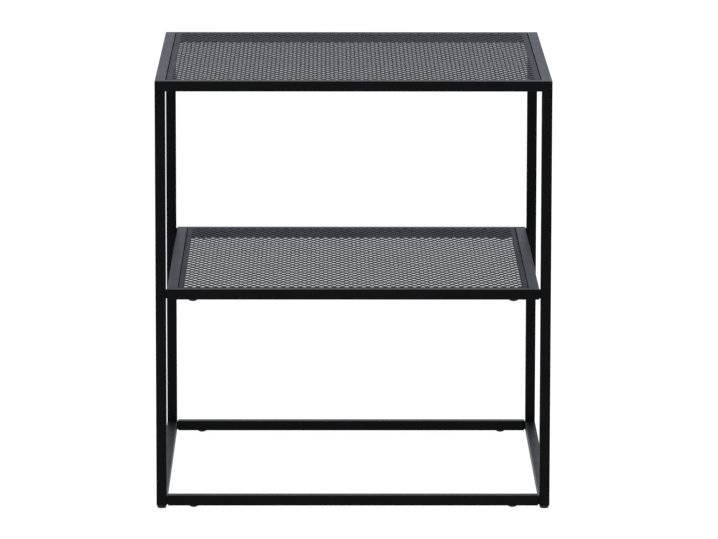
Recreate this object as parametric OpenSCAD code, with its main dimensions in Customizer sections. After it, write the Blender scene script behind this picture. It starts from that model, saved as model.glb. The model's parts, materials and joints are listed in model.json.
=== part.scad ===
/* [Table] */
// Overall width, left to right
table_w = 456; // [380:1:560]
// Overall depth, front to back
table_d = 456; // [340:1:560]
// Overall height, feet included
table_h = 500; // [420:1:620]
// Height of the shelf's top face above the floor
shelf_h = 258; // [160:1:340]

/* [Square tube] */
// Outside width of the tube
tube = 12; // [11:0.5:16]
// Wall thickness of the tube
wall = 1.2; // [0.8:0.1:1.4]
// Outside corner radius of the tube
tube_r = 0.5; // [0.3:0.1:1.5]

/* [Knock-down joints] */
// Gap left between a cross rail's cut end and the upright
end_gap = 1.3; // [0.4:0.1:2]
// Clearance on each side of a stub inside its tube
stub_play = 0.2; // [0.1:0.05:0.3]
// Length of a stub
stub_length = 45; // [38:1:60]
// Distance of a screw from the face that its stub is welded to
screw_inset = 31; // [20:1:33]
// Gap that the paint leaves between an upright's end and the top frame
seat_gap = 0.3; // [0:0.1:0.6]

/* [Pan head screws] */
// Nominal thread diameter
thread_d = 5; // [4:0.5:6]
// Head diameter
head_d = 10; // [8.5:0.1:11]
// Head height
head_h = 2.75; // [2:0.05:3]
// Height of the straight edge under a head's dome
head_edge = 1.3; // [0.5:0.1:1.6]
// Width across the flats of the hexagon socket
socket_af = 3; // [2.5:0.5:3.5]

/* [Perforated panels] */
// Sheet thickness
sheet_t = 0.55; // [0.5:0.05:1.5]
// Depth of the turned-down edge
flange_h = 6; // [4:0.5:10]
// Seam between a panel's edge and the frame round it
seam = 0.8; // [0.5:0.1:1.5]
// Width of the ledges that carry a panel
ledge_w = 6; // [4:0.5:8]
// Thickness of the ledges
ledge_t = 2; // [1.5:0.5:3]
// Length of the ledges as a share of the panel's depth
ledge_share = 0.75; // [0.4:0.05:0.9]

/* [Levelling feet] */
// Height of a foot's pad, which is what lifts the tubes off the floor
foot_h = 3.5; // [2.5:0.5:6]
// Diameter of a foot's pad
foot_d = 10.5; // [9:0.5:14]
// Rounding of the pad's lower edge
foot_r = 1.2; // [0.5:0.1:1.5]
// Diameter of a foot's stud
stud_d = 5.8; // [4:0.1:6]
// Length of a foot's stud above its pad
stud_length = 20; // [14:1:26]
// Height of the nut that a stud turns in
nut_h = 6; // [4:0.5:8]

/* [Hidden] */
$fn = 48;

// Which way each side of the table lies along its axis
left = -1;
right = 1;
front = -1;
rear = 1;

// Tube centre lines, measured from the middle of the table
side_x = (table_w - tube) / 2;
end_y = (table_d - tube) / 2;
top_z = table_h - tube / 2;
shelf_z = shelf_h - tube / 2;
bottom_z = foot_h + tube / 2;

// Faces and lengths that follow from them
upright_face_x = table_w / 2 - tube;
top_frame_under = table_h - tube;
upright_length = top_frame_under - seat_gap - foot_h;
cross_rail_length = 2 * (upright_face_x - end_gap);
shelf_side_x = (cross_rail_length - tube) / 2;
shelf_side_length = table_d - 2 * tube;

// Stubs and screws
stub = tube - 2 * wall - 2 * stub_play;
tapped_d = thread_d;
shank_d = thread_d - 0.2;
clearance_d = thread_d + 0.4;
shank_length = wall + stub_play + stub * 0.8;
dome_h = head_h - head_edge;
dome_r = (head_d * head_d / 4 + dome_h * dome_h) / (2 * dome_h);
socket_depth = head_h * 0.65;
screw_x = upright_face_x - screw_inset;
top_screw_z = top_frame_under - screw_inset;

// Panels and their ledges
top_panel_size = [table_w - 2 * tube - 2 * seam, table_d - 2 * tube - 2 * seam];
shelf_panel_size = [cross_rail_length - 2 * tube - 2 * seam, table_d - 2 * tube - 2 * seam];
panel_rest_gap = 0.3;
ledge_drop = flange_h + panel_rest_gap;

// Feet
foot_hole_d = stud_d + 1.2;
nut_bore_d = stud_d + 0.16;
nut_side = tube - 2 * wall - 0.2;
nut_z = foot_h + wall;
stud_embed = foot_h * 0.6;

steel_black = [0.07, 0.07, 0.075];
zinc_grey = [0.55, 0.56, 0.58];
screw_black = [0.12, 0.12, 0.12];
nylon_black = [0.05, 0.05, 0.05];

// ---- Shapes that the sub-parts share ----

// Square with its four corners rounded
module rounded_square(side, r) {
    square([side - 2 * r, side], center = true);
    square([side, side - 2 * r], center = true);
    for (sx = [-1, 1], sy = [-1, 1])
        translate([sx * (side / 2 - r), sy * (side / 2 - r)]) circle(r = r);
}

// Square tube along X, centred on the origin, both ends cut square
module tube_bar(length) {
    rotate([90, 0, 90]) linear_extrude(length, center = true) difference() {
        rounded_square(tube, tube_r);
        square(tube - 2 * wall, center = true);
    }
}

// Block that cuts the +X end of a bar at 45 degrees, the -Y side staying long
module mitre_block(length) {
    translate([length / 2, -tube / 2, 0]) rotate([0, 0, 45])
        translate([0, -2 * tube, -tube]) cube([3 * tube, 4 * tube, 2 * tube]);
}

// Tube along X with both ends mitred, longest on its -Y side
module mitred_bar(length) {
    difference() {
        tube_bar(length);
        mitre_block(length);
        mirror([1, 0, 0]) mitre_block(length);
    }
}

// Solid square bar from the origin along +X, tapped through Z for one screw
module stub_bar() {
    difference() {
        translate([0, -stub / 2, -stub / 2]) cube([stub_length, stub, stub]);
        translate([screw_inset, 0, -stub]) cylinder(d = tapped_d, h = 2 * stub);
    }
}

// Pan head screw, its head's seat at the origin and its head towards -Z
module screw() {
    difference() {
        union() {
            intersection() {
                translate([0, 0, dome_r - head_h]) sphere(r = dome_r);
                translate([0, 0, -head_h]) cylinder(d = head_d, h = head_h);
            }
            cylinder(d = shank_d, h = shank_length);
        }
        translate([0, 0, -head_h - 1])
            cylinder(d = socket_af / cos(30), h = socket_depth + 1, $fn = 6);
    }
}

// Cross rail between the uprights, drilled underneath for its two screws
module cross_rail(y, z) {
    translate([0, y, z]) difference() {
        tube_bar(cross_rail_length);
        for (side = [left, right])
            translate([side * screw_x, 0, -tube]) cylinder(d = clearance_d, h = tube);
    }
}

// The two stubs at each end of the front and rear cross rails at height z
module cross_stubs(z) {
    for (side = [left, right], end = [front, rear])
        translate([side * upright_face_x, end * end_y, z])
            rotate([0, 0, side == right ? 180 : 0]) stub_bar();
}

// The four screws under the front and rear cross rails at height z
module cross_screws(z) {
    for (side = [left, right], end = [front, rear])
        translate([side * screw_x, end * end_y, z - tube / 2]) screw();
}

// Upright with its foot mitred to the bottom rail and its inner face drilled for the top screw
module upright(side, end) {
    difference() {
        translate([side * side_x, end * end_y, foot_h + upright_length / 2])
            rotate([0, 90, end == rear ? 180 : 0]) difference() {
                tube_bar(upright_length);
                mitre_block(upright_length);
            }
        translate([side * side_x, end * end_y, top_screw_z])
            rotate([end * 90, 0, 0]) cylinder(d = clearance_d, h = tube);
    }
}

// Rail along the floor that joins a side frame's two uprights, drilled for two studs
module bottom_side_rail(side) {
    difference() {
        translate([side * side_x, 0, bottom_z]) rotate([90, 0, 90]) mitred_bar(table_d);
        for (end = [front, rear])
            translate([side * side_x, end * end_y, foot_h - 1]) cylinder(d = foot_hole_d, h = wall + 2);
    }
}

// Sheet with its edges turned down, its top face at z
module panel(size, z) {
    inner = [size[0] - 2 * sheet_t, size[1] - 2 * sheet_t];
    translate([0, 0, z - sheet_t]) linear_extrude(sheet_t) square(size, center = true);
    translate([0, 0, z - flange_h]) linear_extrude(flange_h - sheet_t) difference() {
        square(size, center = true);
        square(inner, center = true);
    }
}

// Pair of flat strips on the inner faces of two side rails, under a panel's turned-down edges
module panel_ledges(inner_x, z) {
    length = ledge_share * shelf_side_length;
    for (side = [left, right])
        translate([side * (inner_x - ledge_w / 2), 0, z - ledge_drop - ledge_t / 2])
            cube([ledge_w, length, ledge_t], center = true);
}

// Round pad of a levelling foot, bored for its stud
module foot_pad(side, end) {
    translate([side * side_x, end * end_y, 0]) difference() {
        rotate_extrude() union() {
            square([foot_d / 2 - foot_r, foot_h]);
            translate([0, foot_r]) square([foot_d / 2, foot_h - foot_r]);
            translate([foot_d / 2 - foot_r, foot_r]) circle(r = foot_r);
        }
        translate([0, 0, foot_h - stud_embed]) cylinder(d = stud_d, h = stud_embed + 1);
    }
}

// Threaded stud of a levelling foot, drawn as a plain rod
module foot_stud(side, end) {
    translate([side * side_x, end * end_y, foot_h - stud_embed])
        cylinder(d = stud_d, h = stud_embed + stud_length);
}

// ---- Top frame ----

module top_front_rail() {
    color(steel_black) translate([0, front * end_y, top_z]) mitred_bar(table_w);
}

module top_rear_rail() {
    color(steel_black) translate([0, rear * end_y, top_z]) rotate([0, 0, 180]) mitred_bar(table_w);
}

module top_left_rail() {
    color(steel_black) translate([left * side_x, 0, top_z]) rotate([0, 0, -90]) mitred_bar(table_d);
}

module top_right_rail() {
    color(steel_black) translate([right * side_x, 0, top_z]) rotate([0, 0, 90]) mitred_bar(table_d);
}

// Bars welded under the frame's corners, which slide into the uprights
module top_stubs() {
    color(steel_black) for (side = [left, right], end = [front, rear])
        translate([side * side_x, end * end_y, top_frame_under])
            rotate([0, 90, end * 90]) stub_bar();
}

module top_panel() {
    color(steel_black) panel(top_panel_size, table_h);
}

module top_panel_ledges() {
    color(steel_black) panel_ledges(upright_face_x, table_h);
}

// ---- Side frames ----

module left_front_upright() {
    color(steel_black) upright(left, front);
}

module left_rear_upright() {
    color(steel_black) upright(left, rear);
}

module left_bottom_rail() {
    color(steel_black) bottom_side_rail(left);
}

module right_front_upright() {
    color(steel_black) upright(right, front);
}

module right_rear_upright() {
    color(steel_black) upright(right, rear);
}

module right_bottom_rail() {
    color(steel_black) bottom_side_rail(right);
}

// ---- Shelf ----

module shelf_front_rail() {
    color(steel_black) cross_rail(front * end_y, shelf_z);
}

module shelf_rear_rail() {
    color(steel_black) cross_rail(rear * end_y, shelf_z);
}

module shelf_left_rail() {
    color(steel_black) translate([left * shelf_side_x, 0, shelf_z])
        rotate([0, 0, 90]) tube_bar(shelf_side_length);
}

module shelf_right_rail() {
    color(steel_black) translate([right * shelf_side_x, 0, shelf_z])
        rotate([0, 0, 90]) tube_bar(shelf_side_length);
}

module shelf_stubs() {
    color(steel_black) cross_stubs(shelf_z);
}

module shelf_panel() {
    color(steel_black) panel(shelf_panel_size, shelf_h);
}

module shelf_panel_ledges() {
    color(steel_black) panel_ledges(cross_rail_length / 2 - tube, shelf_h);
}

// ---- Cross rails near the floor ----

module bottom_front_rail() {
    color(steel_black) cross_rail(front * end_y, bottom_z);
}

module bottom_rear_rail() {
    color(steel_black) cross_rail(rear * end_y, bottom_z);
}

module bottom_stubs() {
    color(steel_black) cross_stubs(bottom_z);
}

// ---- Fasteners ----

// Screws in the uprights' inner faces, which hold the top frame's stubs
module top_screws() {
    color(screw_black) for (side = [left, right], end = [front, rear])
        translate([side * side_x, end * (end_y - tube / 2), top_screw_z])
            rotate([end == front ? 90 : -90, 0, 0]) screw();
}

module shelf_screws() {
    color(screw_black) cross_screws(shelf_z);
}

module bottom_screws() {
    color(screw_black) cross_screws(bottom_z);
}

// ---- Levelling feet ----

module left_front_foot() {
    color(nylon_black) foot_pad(left, front);
}

module left_rear_foot() {
    color(nylon_black) foot_pad(left, rear);
}

module right_front_foot() {
    color(nylon_black) foot_pad(right, front);
}

module right_rear_foot() {
    color(nylon_black) foot_pad(right, rear);
}

module left_front_stud() {
    color(zinc_grey) foot_stud(left, front);
}

module left_rear_stud() {
    color(zinc_grey) foot_stud(left, rear);
}

module right_front_stud() {
    color(zinc_grey) foot_stud(right, front);
}

module right_rear_stud() {
    color(zinc_grey) foot_stud(right, rear);
}

// Square nuts welded inside the side frames' lower corners
module foot_nuts() {
    color(zinc_grey) for (side = [left, right], end = [front, rear])
        translate([side * side_x, end * end_y, nut_z]) difference() {
            translate([-nut_side / 2, -nut_side / 2, 0]) cube([nut_side, nut_side, nut_h]);
            translate([0, 0, -1]) cylinder(d = nut_bore_d, h = nut_h + 2);
        }
}

top_front_rail();
top_rear_rail();
top_left_rail();
top_right_rail();
top_stubs();
top_panel();
top_panel_ledges();
left_front_upright();
left_rear_upright();
left_bottom_rail();
right_front_upright();
right_rear_upright();
right_bottom_rail();
shelf_front_rail();
shelf_rear_rail();
shelf_left_rail();
shelf_right_rail();
shelf_stubs();
shelf_panel();
shelf_panel_ledges();
bottom_front_rail();
bottom_rear_rail();
bottom_stubs();
top_screws();
shelf_screws();
bottom_screws();
left_front_foot();
left_rear_foot();
right_front_foot();
right_rear_foot();
left_front_stud();
left_rear_stud();
right_front_stud();
right_rear_stud();
foot_nuts();
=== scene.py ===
"""Square-tube side table with perforated panels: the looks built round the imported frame."""

import json
import math

import bmesh
import bpy
from mathutils import Matrix, Vector


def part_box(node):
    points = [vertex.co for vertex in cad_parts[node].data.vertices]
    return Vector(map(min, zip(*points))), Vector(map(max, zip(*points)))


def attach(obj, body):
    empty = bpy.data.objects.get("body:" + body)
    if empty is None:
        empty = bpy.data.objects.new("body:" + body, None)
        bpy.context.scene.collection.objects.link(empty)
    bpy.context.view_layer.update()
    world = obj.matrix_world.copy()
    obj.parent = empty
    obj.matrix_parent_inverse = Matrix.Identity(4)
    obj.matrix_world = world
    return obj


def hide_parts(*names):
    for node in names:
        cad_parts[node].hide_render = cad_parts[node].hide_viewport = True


MM = 0.001

# Perforated sheet. MARGIN is the least solid width between a hole's rim and the panel's edge.
SHEET = 0.55 * MM
HOLE = 6.5 * MM
HOLE_SIDES = 16
PITCH = 9.8 * MM
ROW = PITCH * math.sqrt(3) / 2
BEND = 1.2 * MM
BEND_STEPS = 4
MARGIN = 4.0 * MM

# Weld beads. SUNK is how deep a bead along a flush joint sits, WAIST how thick it is between its
# ripples and TIP at its ends, each as a share of its thickness.
BEAD = 1.8 * MM
ROOT_BEAD = 1.1 * MM
RIPPLE = 1.2 * MM
BEAD_SIDES = 8
WAIST = 0.8
TIP = 0.5
SUNK = 0.35
TACK = 14.0 * MM

# Thread of the feet's studs. The crest runs from CREST_FROM to CREST_TO of a pitch.
THREAD_PITCH = 1.0 * MM
THREAD_DEPTH = 0.45 * MM
THREAD_SIDES = 20
CREST_FROM = 0.4
CREST_TO = 0.5
ROOT_FROM = 0.9

# Edges sharper than this many degrees stay sharp
SHARP = 35.0

# Half the floor's width
FLOOR = 30.0

# Camera, in metres and degrees
EYE = (-0.0336, -6.3588, 1.3207)
LOOK_DOWN = 9.621
LOOK_RIGHT = 0.375
ROLL = 0.079
LENS = 270.73


# ---- Shader nodes ----


class Socket:
    """An output of a shader node. Arithmetic on it adds Math nodes to its tree."""

    def __init__(self, shader, link):
        self.shader = shader
        self.link = link

    def maths(self, operation, *values):
        return self.shader.node("ShaderNodeMath", {"operation": operation}, dict(enumerate(values)))

    def __add__(self, other):
        return self.maths("ADD", self, other)

    def __mul__(self, other):
        return self.maths("MULTIPLY", self, other)

    __radd__ = __add__
    __rmul__ = __mul__


class Shader:
    """A material and the one Principled shader that it ends in."""

    def __init__(self, name):
        self.material = bpy.data.materials.new(name)
        self.material.use_nodes = True
        self.tree = self.material.node_tree
        self.coat = self.tree.nodes["Principled BSDF"]
        self.place = self.node("ShaderNodeTexCoord", output="Object")

    def node(self, kind, settings=None, inputs=None, output=0):
        made = self.tree.nodes.new(kind)
        for name, value in (settings or {}).items():
            setattr(made, name, value)
        for name, value in (inputs or {}).items():
            self.feed(made.inputs[name], value)
        return Socket(self, made.outputs[output])

    def feed(self, target, value):
        if isinstance(value, Socket):
            self.tree.links.new(value.link, target)
        else:
            target.default_value = value

    def set(self, **values):
        for name, value in values.items():
            self.feed(self.coat.inputs[name.replace("_", " ").title().replace("Ior", "IOR")], value)

    def noise(self, scale, detail=2.0, roughness=0.5):
        """Noise from 0 to 1 whose features are about 1 / scale metres across."""
        values = {"Vector": self.place, "Scale": scale, "Detail": detail, "Roughness": roughness}
        return self.node("ShaderNodeTexNoise", {"noise_dimensions": "3D"}, values, "Fac")

    def spread(self, value, low, high, to_low, to_high):
        """Value remapped from low..high to to_low..to_high and held there."""
        values = {"Value": value, "From Min": low, "From Max": high, "To Min": to_low, "To Max": to_high}
        return self.node("ShaderNodeMapRange", {"clamp": True}, values, "Result")

    def blend(self, factor, first, second):
        """Colour between first and second. The Mix node's colour sockets come after its others."""
        values = {0: factor, 6: (*first, 1.0), 7: (*second, 1.0)}
        return self.node("ShaderNodeMix", {"data_type": "RGBA"}, values, 2)

    def bump(self, height, distance, strength):
        values = {"Height": height, "Distance": distance, "Strength": strength}
        return self.node("ShaderNodeBump", {}, values, "Normal")


def powder_coat(name, shade, roughness, gloss):
    """Black powder coat: orange peel about a millimetre across, finer grit and pale specks on it."""
    s = Shader(name)
    peel = s.noise(620, 3.0)
    grit = s.noise(2600, 2.0)
    cloud = s.noise(22, 3.0, 0.6)
    speck = s.spread(s.noise(1500, 2.0, 0.6), 0.5, 0.72, 0.0, 1.0)
    mottle = s.spread(cloud, 0.3, 0.7, 0.0, 1.0)
    s.set(
        base_color=s.blend(speck * 0.6 + mottle * 0.25, shade, [9.0 * c for c in shade]),
        roughness=s.spread(cloud * 0.4 + peel * 0.6, 0.3, 0.7, roughness - 0.07, roughness + 0.07),
        normal=s.bump(peel * 0.8 + grit * 0.2, 0.3 * MM, 0.8),
        specular_ior_level=gloss,
    )
    return s.material


def black_oxide(name):
    """Oiled black oxide on a cold-headed screw."""
    s = Shader(name)
    stain = s.noise(900, 4.0, 0.65)
    s.set(
        base_color=s.blend(stain, (0.010, 0.010, 0.011), (0.034, 0.033, 0.034)),
        roughness=s.spread(stain, 0.3, 0.7, 0.32, 0.5),
        metallic=0.6,
        normal=s.bump(s.noise(5000, 2.0), 0.02 * MM, 0.5),
        specular_ior_level=0.3,
    )
    return s.material


def zinc_plate(name):
    """Bright zinc, a little cloudy."""
    s = Shader(name)
    cloud = s.noise(260, 4.0, 0.6)
    s.set(
        base_color=s.blend(cloud, (0.42, 0.43, 0.45), (0.62, 0.63, 0.64)),
        roughness=s.spread(cloud, 0.3, 0.7, 0.28, 0.46),
        metallic=1.0,
        normal=s.bump(s.noise(3000, 2.0), 0.02 * MM, 0.4),
    )
    return s.material


def moulded_nylon(name):
    """Black nylon with the fine sparkle of a spark-eroded mould."""
    s = Shader(name)
    grain = s.noise(3200, 2.0)
    s.set(
        base_color=s.blend(s.noise(60, 3.0), (0.007, 0.007, 0.007), (0.013, 0.013, 0.013)),
        roughness=s.spread(grain, 0.3, 0.7, 0.5, 0.64),
        normal=s.bump(grain, 0.04 * MM, 0.6),
        specular_ior_level=0.2,
    )
    return s.material


def floor_paint(name):
    """Plain white studio floor."""
    s = Shader(name)
    s.set(
        base_color=s.blend(s.noise(3.0, 2.0), (0.05, 0.05, 0.05), (0.07, 0.07, 0.07)),
        roughness=0.9,
        specular_ior_level=0.0,
        emission_color=(1.0, 1.0, 1.0, 1.0),
        emission_strength=0.98,
    )
    return s.material


# ---- Meshes ----


def finish_piece(name, work, material):
    """Turns a bmesh into an object whose curved faces shade smoothly."""
    bmesh.ops.recalc_face_normals(work, faces=work.faces)
    mesh = bpy.data.meshes.new(name)
    work.to_mesh(mesh)
    work.free()
    mesh.shade_smooth()
    mesh.set_sharp_from_angle(angle=math.radians(SHARP))
    mesh.materials.append(material)
    piece = bpy.data.objects.new(name, mesh)
    bpy.context.scene.collection.objects.link(piece)
    return piece


def verts_of(geom):
    return [e for e in geom if isinstance(e, bmesh.types.BMVert)]


def edges_of(geom):
    return [e for e in geom if isinstance(e, bmesh.types.BMEdge)]


def copy_along(work, geom, step, count):
    """Lays count - 1 copies of geom beside it, each one step further."""
    for i in range(1, count):
        twin = bmesh.ops.duplicate(work, geom=geom)["geom"]
        bmesh.ops.translate(work, verts=verts_of(twin), vec=step * i)


def brick(work, centre, holed):
    """One cell of the sheet, a pitch wide and a row high, with or without its hole.

    Its outline has a point at each corner and in the middle of each side, so that bricks meet
    point to point both along a row and half a pitch over in the next one.
    """
    ring = bmesh.ops.create_circle(work, segments=HOLE_SIDES, radius=HOLE / 2, cap_ends=False)["verts"]
    rim = list({e for v in ring for e in v.link_edges})
    grown = bmesh.ops.extrude_edge_only(work, edges=rim)["geom"]
    outline = verts_of(grown)
    for v in outline:
        v.co.x = PITCH / 2 * round(2 * v.co.x / HOLE)
        v.co.y = ROW / 2 * round(2 * v.co.y / HOLE)
    if not holed:
        bmesh.ops.contextual_create(work, geom=rim)
    bmesh.ops.translate(work, verts=ring + outline, vec=centre)


def brick_row(first, holes):
    """A row of bricks along X whose first hole is at first, with a blank brick at each end."""
    row = bmesh.new()
    brick(row, Vector((first, 0, 0)), True)
    copy_along(row, row.verts[:] + row.edges[:] + row.faces[:], Vector((PITCH, 0, 0)), holes)
    for place in (first - PITCH, first + holes * PITCH):
        brick(row, Vector((place, 0, 0)), False)
    bmesh.ops.remove_doubles(row, verts=row.verts, dist=PITCH / 100)
    return row


def add_row(field, row, y):
    mesh = bpy.data.meshes.new("row")
    row.to_mesh(mesh)
    mesh.transform(Matrix.Translation((0, y, 0)))
    field.from_mesh(mesh)
    bpy.data.meshes.remove(mesh)


def perforated_field(width, depth):
    """Flat sheet of staggered holes, and its half width and half depth.

    Two neighbouring rows together have a hole at each half pitch, from one margin to the other.
    """
    half_pitches = int((width - 2 * MARGIN - HOLE) / (PITCH / 2))
    rows = int((depth - 2 * MARGIN - HOLE) / ROW) + 1
    half_width = (half_pitches + 2) * PITCH / 4
    half_depth = rows * ROW / 2
    pair = [
        brick_row((shift - half_pitches / 2) * PITCH / 2, (half_pitches - shift) // 2 + 1)
        for shift in (0, 1)
    ]
    field = bmesh.new()
    for i in range(rows):
        add_row(field, pair[i % 2], (i - (rows - 1) / 2) * ROW)
    for side in (-1, 1):
        bmesh.ops.bisect_plane(
            field,
            geom=field.verts[:] + field.edges[:] + field.faces[:],
            dist=PITCH / 1000,
            plane_co=(side * half_width, 0, 0),
            plane_no=(side, 0, 0),
            clear_outer=True,
        )
    bmesh.ops.remove_doubles(field, verts=field.verts, dist=PITCH / 100)
    for row in pair:
        row.free()
    return field, half_width, half_depth


def grow_edge(work, edges, reach, drop):
    """Extrudes the outline by reach sideways and drop downwards, and returns the new outline."""
    grown = bmesh.ops.extrude_edge_only(work, edges=edges)["geom"]
    verts = verts_of(grown)
    far_x = max(v.co.x for v in verts)
    far_y = max(v.co.y for v in verts)
    for v in verts:
        if abs(abs(v.co.x) - far_x) < SHEET / 10:
            v.co.x += math.copysign(reach[0], v.co.x)
        if abs(abs(v.co.y) - far_y) < SHEET / 10:
            v.co.y += math.copysign(reach[1], v.co.y)
        v.co.z -= drop
    return [e for e in edges_of(grown) if e.is_boundary]


def perforated_panel(name, node, body, material):
    """Perforated sheet with its four edges bent down, in the place of a CAD panel."""
    low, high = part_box(node)
    size = high - low
    work, half_width, half_depth = perforated_field(size.x, size.y)
    outline = [
        e
        for e in work.edges
        if e.is_boundary
        and all(
            abs(abs(v.co.x) - half_width) < SHEET / 10 or abs(abs(v.co.y) - half_depth) < SHEET / 10
            for v in e.verts
        )
    ]
    outline = grow_edge(work, outline, (size.x / 2 - BEND - half_width, size.y / 2 - BEND - half_depth), 0.0)
    bent = 0.0
    for i in range(1, BEND_STEPS + 1):
        angle = math.pi / 2 * i / BEND_STEPS
        before = math.pi / 2 * (i - 1) / BEND_STEPS
        reach = BEND * (math.sin(angle) - math.sin(before))
        drop = BEND * (math.cos(before) - math.cos(angle))
        outline = grow_edge(work, outline, (reach, reach), drop)
        bent += drop
    grow_edge(work, outline, (0.0, 0.0), size.z - bent)
    bmesh.ops.recalc_face_normals(work, faces=work.faces)
    centre_face = min(work.faces, key=lambda f: f.calc_center_median().length)
    if centre_face.normal.z < 0:
        bmesh.ops.reverse_faces(work, faces=work.faces)
    bmesh.ops.solidify(work, geom=work.verts[:] + work.edges[:] + work.faces[:], thickness=SHEET)
    middle = (low + high) / 2
    bmesh.ops.translate(work, verts=work.verts, vec=(middle.x, middle.y, high.z))
    piece = finish_piece(name, work, material)
    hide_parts(node)
    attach(piece, body)


def weld_bead(work, start, end, thickness):
    """Adds a closed bead from start to end, rippled along its length and narrower at its ends."""
    start, end = Vector(start), Vector(end)
    run = end - start
    steps = 2 * max(2, round(run.length / RIPPLE))
    turn = run.to_track_quat("Z", "Y").to_matrix().to_4x4()
    radius = TIP * thickness / 2
    ring = bmesh.ops.create_circle(
        work, segments=BEAD_SIDES, radius=radius, matrix=Matrix.Translation(start) @ turn
    )["verts"]
    rim = list({e for v in ring for e in v.link_edges})
    bmesh.ops.contextual_create(work, geom=rim)
    for i in range(1, steps + 1):
        grown = bmesh.ops.extrude_edge_only(work, edges=rim)["geom"]
        wanted = thickness / 2 * (TIP if i == steps else WAIST if i % 2 else 1.0)
        bmesh.ops.translate(work, verts=verts_of(grown), vec=run / steps)
        centre = start + run * i / steps
        bmesh.ops.scale(
            work, verts=verts_of(grown), vec=[wanted / radius] * 3, space=Matrix.Translation(-centre)
        )
        radius = wanted
        rim = [e for e in edges_of(grown) if e.is_boundary]
    bmesh.ops.contextual_create(work, geom=rim)


def weld_piece(name, beads, material):
    """One piece of weld beads on the frame. Each bead is its start, its end and its thickness."""
    work = bmesh.new()
    for bead in beads:
        weld_bead(work, *bead)
    piece = finish_piece(name, work, material)
    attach(piece, "frame")


def shelf_frame_beads():
    """Beads where the shelf's side rails meet its front and rear rails: underneath, and inside."""
    beads = []
    flange_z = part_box("shelf_panel")[0].z
    for side in ("left", "right"):
        low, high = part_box(f"shelf_{side}_rail")
        inner_x = min(low.x, high.x, key=abs)
        for y in (low.y, high.y):
            flush_z = low.z + SUNK * BEAD
            beads.append(((low.x + BEAD, y, flush_z), (high.x - BEAD, y, flush_z), BEAD))
            beads.append(((inner_x, y, low.z + BEAD / 2), (inner_x, y, flange_z - BEAD), BEAD))
    return beads


def ledge_beads(node):
    """Three tack welds under each of a panel's two ledges."""
    low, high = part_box(node)
    middle_y = (low.y + high.y) / 2
    reach = (high.y - low.y) / 2 - TACK
    middles = [middle_y + at * reach for at in (-1, 0, 1)]
    return [
        ((x, y - TACK / 2, low.z), (x, y + TACK / 2, low.z), BEAD) for x in (low.x, high.x) for y in middles
    ]


def stub_root_beads(stubs):
    """Beads round the roots of the stubs that show between the cross rails and the uprights."""
    low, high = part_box(stubs)
    side = high.z - low.z
    beads = []
    for x in (low.x, high.x):
        for y in (low.y, high.y - side):
            corners = [(x, y, low.z), (x, y + side, low.z), (x, y + side, high.z), (x, y, high.z)]
            beads += [(corners[i - 1], corners[i], ROOT_BEAD) for i in range(4)]
    return beads


def threaded_stud(node, body, material):
    """Coarse thread in the place of a foot's plain CAD stud, a turn too long at each end, then cut."""
    low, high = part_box(node)
    middle = (low + high) / 2
    crest = (high.x - low.x) / 2
    turns = math.ceil((high.z - low.z) / THREAD_PITCH) + 2
    work = bmesh.new()
    root = crest - THREAD_DEPTH
    start = low.z - THREAD_PITCH
    rises = ((root, 0.0), (crest, CREST_FROM), (crest, CREST_TO), (root, ROOT_FROM), (root, 1.0))
    profile = [work.verts.new((radius, 0, start + rise * THREAD_PITCH)) for radius, rise in rises]
    edges = [work.edges.new(pair) for pair in zip(profile, profile[1:])]
    bmesh.ops.spin(
        work,
        geom=profile + edges,
        cent=(0, 0, 0),
        axis=(0, 0, 1),
        dvec=(0, 0, THREAD_PITCH / THREAD_SIDES),
        angle=2 * math.pi * turns,
        steps=turns * THREAD_SIDES,
    )
    bmesh.ops.remove_doubles(work, verts=work.verts, dist=THREAD_PITCH / 100)
    for end_z, outwards in ((low.z, -1), (high.z, 1)):
        cut = bmesh.ops.bisect_plane(
            work,
            geom=work.verts[:] + work.edges[:] + work.faces[:],
            dist=THREAD_PITCH / 10000,
            plane_co=(0, 0, end_z),
            plane_no=(0, 0, outwards),
            clear_outer=True,
        )["geom_cut"]
        bmesh.ops.contextual_create(work, geom=edges_of(cut))
    bmesh.ops.translate(work, verts=work.verts, vec=(middle.x, middle.y, 0))
    piece = finish_piece(f"{node}_thread", work, material)
    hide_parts(node)
    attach(piece, body)


# ---- Light ----


def softbox(name, place, aim, size, power):
    light = bpy.data.lights.new(name, "AREA")
    light.shape = "SQUARE"
    light.size = size
    light.energy = power
    lamp = bpy.data.objects.new(name, light)
    lamp.location = place
    lamp.rotation_euler = (Vector(aim) - Vector(place)).to_track_quat("-Z", "Y").to_euler()
    bpy.context.scene.collection.objects.link(lamp)


# ---- Scene ----

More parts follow.
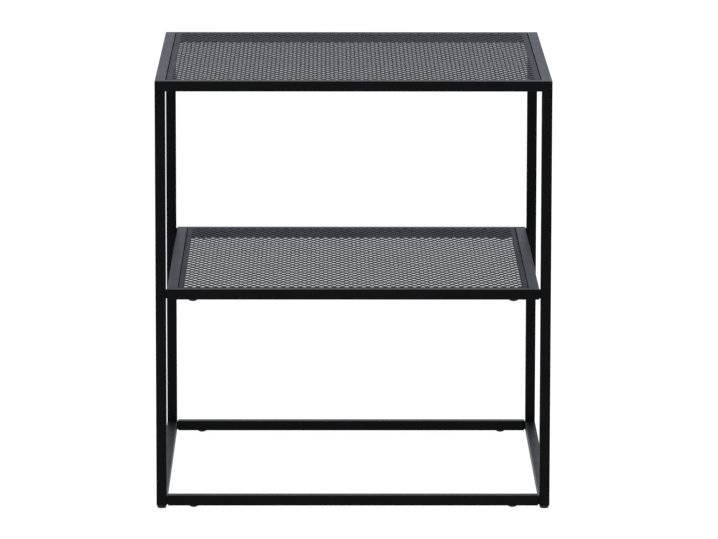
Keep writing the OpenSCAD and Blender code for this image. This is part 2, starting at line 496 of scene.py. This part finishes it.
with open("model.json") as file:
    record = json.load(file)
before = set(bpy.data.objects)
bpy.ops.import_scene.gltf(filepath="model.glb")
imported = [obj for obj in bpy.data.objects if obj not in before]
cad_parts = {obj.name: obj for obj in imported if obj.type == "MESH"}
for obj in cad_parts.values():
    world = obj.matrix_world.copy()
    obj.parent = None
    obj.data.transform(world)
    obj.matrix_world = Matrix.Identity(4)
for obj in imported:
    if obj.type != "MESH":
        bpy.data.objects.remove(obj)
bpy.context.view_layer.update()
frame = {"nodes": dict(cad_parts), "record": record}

black_coat = powder_coat("black powder coat", (0.0006, 0.0006, 0.0007), 0.42, 0.059)
sheet_coat = powder_coat("black powder coat on sheet", (0.0006, 0.0006, 0.0007), 0.50, 0.045)
FINISHES = {
    "powder_coat": black_coat,
    "panel_coat": sheet_coat,
    "black_screw": black_oxide("black oxide"),
    "zinc_steel": zinc_plate("bright zinc"),
    "nylon": moulded_nylon("moulded nylon"),
}
for part in frame["record"]["subparts"]:
    mesh = frame["nodes"][part["node"]].data
    mesh.materials.clear()
    mesh.materials.append(FINISHES[part["material_slot"]])

perforated_panel("top_perforated_panel", "top_panel", "top_panel_insert", sheet_coat)
perforated_panel("shelf_perforated_panel", "shelf_panel", "shelf_panel_insert", sheet_coat)
tacks = ledge_beads("top_panel_ledges") + ledge_beads("shelf_panel_ledges")
roots = stub_root_beads("shelf_stubs") + stub_root_beads("bottom_stubs")
weld_piece("shelf_frame_welds", shelf_frame_beads(), black_coat)
weld_piece("ledge_welds", tacks, black_coat)
weld_piece("stub_root_welds", roots, black_coat)
for side in ("left", "right"):
    for end in ("front", "rear"):
        threaded_stud(f"{side}_{end}_stud", f"{side}_{end}_leveller", FINISHES["zinc_steel"])

# Floor
floor_work = bmesh.new()
bmesh.ops.create_grid(floor_work, x_segments=1, y_segments=1, size=FLOOR)
floor = finish_piece("floor", floor_work, floor_paint("floor paint"))

# Light
world = bpy.data.worlds.new("studio")
bpy.context.scene.world = world
world.use_nodes = True
room = world.node_tree.nodes["Background"].inputs
room["Color"].default_value = (0.85, 0.91, 1.04, 1.0)
room["Strength"].default_value = 1.18

softbox("overhead_softbox", (0.0, 0.3, 3.2), (0.0, 0.0, 0.0), 4.0, 260.0)

# Camera
camera = bpy.data.objects.new("camera", bpy.data.cameras.new("camera"))
camera.data.lens = LENS
camera.data.clip_end = 100.0
camera.matrix_world = (
    Matrix.Translation(EYE)
    @ Matrix.Rotation(math.radians(-LOOK_RIGHT), 4, "Z")
    @ Matrix.Rotation(math.radians(90 - LOOK_DOWN), 4, "X")
    @ Matrix.Rotation(math.radians(ROLL), 4, "Z")
)
bpy.context.scene.collection.objects.link(camera)
bpy.context.scene.camera = camera
bpy.context.scene.view_settings.view_transform = "Standard"
